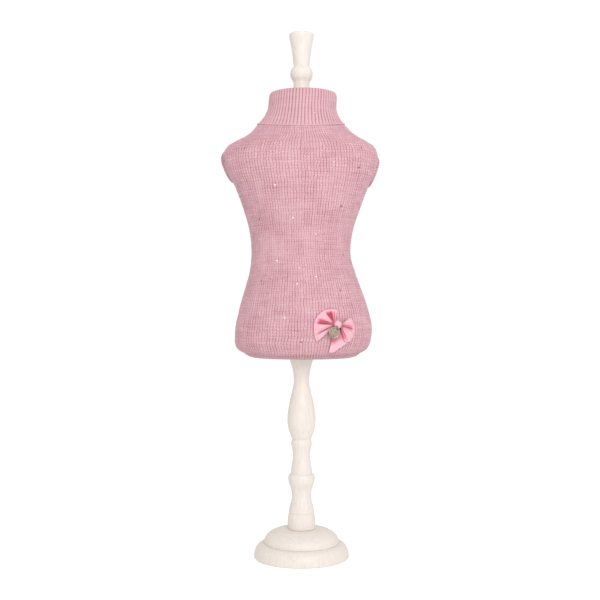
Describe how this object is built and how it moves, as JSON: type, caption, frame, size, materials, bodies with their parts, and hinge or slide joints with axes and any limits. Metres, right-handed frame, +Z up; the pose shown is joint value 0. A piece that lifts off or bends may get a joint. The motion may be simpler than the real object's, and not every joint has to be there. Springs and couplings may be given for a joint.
{
  "type": "dog sweater on dress form",
  "caption": "Ribbed-neck knitted dog sweater with a satin bow and a swinging metal charm, worn by a small limbless dress form on a turned wooden stand.",
  "frame": {"origin": "centre of the foot's flat underside, on the surface it stands on", "axes": "+Z up along the turned column and the form; the side of the sweater with the bow faces -Y; +X to the viewer's right"},
  "size_m": [0.1589, 0.1042, 0.5228],
  "materials": {
    "pink_knit": "matt wool-like stockinette and rib knit",
    "pink_satin": "soft satin ribbon",
    "antique_silver": "worn antique silver plate on zinc alloy",
    "rhinestone": "small faceted foil-backed crystal",
    "form_jersey": "plain cream jersey over foam",
    "white_paint": "turned wood, satin white paint"
  },
  "bodies": {
    "sweater_and_form": {"back_panel": "pink_knit", "belly_panel": "pink_knit", "neck_rib": "pink_knit", "hem_band": "pink_knit", "leg_band_left": "pink_knit", "leg_band_right": "pink_knit", "bow_loop_left": "pink_satin", "bow_loop_right": "pink_satin", "bow_tail": "pink_satin", "bow_knot": "pink_satin", "jump_ring": "antique_silver", "torso": "form_jersey", "neck_cap": "white_paint", "finial": "white_paint", "column": "white_paint", "foot_dome": "white_paint", "foot_plate": "white_paint"},
    "charm": {"charm": "antique_silver"}
  },
  "joints": [
    {"name": "charm_swing", "type": "hinge", "parent": "sweater_and_form", "child": "charm", "pos_m": [0.0336, -0.05128, 0.2287], "axis": [0.3558, -0.9346, 0], "range_deg": [-25, 100]}
  ]
}
